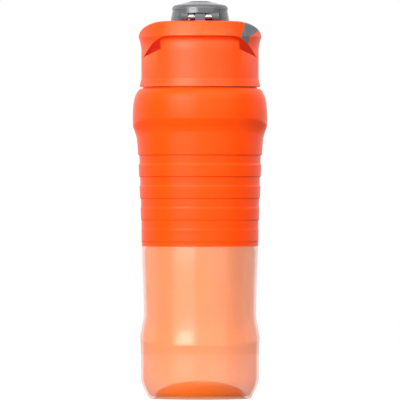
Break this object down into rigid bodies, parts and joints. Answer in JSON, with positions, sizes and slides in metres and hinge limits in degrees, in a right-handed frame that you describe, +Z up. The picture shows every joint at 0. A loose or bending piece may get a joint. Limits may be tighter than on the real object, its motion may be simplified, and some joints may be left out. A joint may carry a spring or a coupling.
{
  "type": "sports squeeze bottle",
  "caption": "Squeeze bottle with a ribbed grip sleeve, screw lid with a carry loop, and a latched flip cover over a self-sealing spout.",
  "frame": {"origin": "centre of the base, on the surface that the bottle stands on", "axes": "+Z up along the bottle, -Y towards the carry loop and the cover's hinge, +Y towards the push button, +X to the right seen from the carry loop's side"},
  "size_m": [0.0854, 0.0854, 0.252],
  "materials": {
    "squeeze_body": "translucent, frosted satin",
    "grip_rubber": "soft-touch matte",
    "lid_plastic": "fine satin",
    "inner_plastic": "satin",
    "accent_rubber": "matte",
    "spout_plastic": "satin",
    "seal_silicone": "matte",
    "valve_silicone": "satin, slightly translucent",
    "smoke_plastic": "smoke-grey, glossy",
    "dark_rubber": "matte",
    "steel": "drawn wire",
    "button_plastic": "satin"
  },
  "bodies": {
    "bottle": {"bottle": "squeeze_body", "grip_sleeve": "grip_rubber"},
    "gasket": {"lid_gasket": "seal_silicone"},
    "lid": {"lid_base": "inner_plastic", "lid_shell": "lid_plastic", "spout_deck": "spout_plastic", "loop_accent": "accent_rubber", "spout": "spout_plastic", "spout_oring": "seal_silicone", "spout_grommet": "seal_silicone", "spout_valve": "valve_silicone", "valve_ring": "spout_plastic", "vent_valve": "valve_silicone", "hinge_pin": "steel", "hinge_spring": "steel", "button_bezel": "accent_rubber", "button_spring": "steel"},
    "cover": {"cover": "smoke_plastic", "cover_pad": "dark_rubber", "cover_seal": "seal_silicone"},
    "button": {"latch_slide": "button_plastic", "button_cap": "button_plastic"},
    "lock": {"lock_slide": "button_plastic"}
  },
  "joints": [
    {"name": "lid_rise", "type": "slide", "parent": "bottle", "child": "gasket", "axis": [0, 0, 1], "range_m": [0, 0.0131]},
    {"name": "lid_turn", "type": "hinge", "parent": "gasket", "child": "lid", "pos_m": [0, 0, 0.205], "axis": [0, 0, 1], "range_deg": [0, 936]},
    {"name": "cover_flip", "type": "hinge", "parent": "lid", "child": "cover", "pos_m": [0, -0.018, 0.2415], "axis": [1, 0, 0], "range_deg": [0, 115]},
    {"name": "button_press", "type": "slide", "parent": "lid", "child": "button", "axis": [0, -1, 0], "range_m": [0, 0.002], "stiffness_N_per_m": 800, "springref_m": -0.001, "deforming": ["button_spring"]},
    {"name": "lock_move", "type": "slide", "parent": "lid", "child": "lock", "axis": [1, 0, 0], "range_m": [-0.004, 0]}
  ],
  "couplings": [
    {"joint": "lid_rise", "follows": "lid_turn", "m_per_rad": 0.00079577}
  ]
}
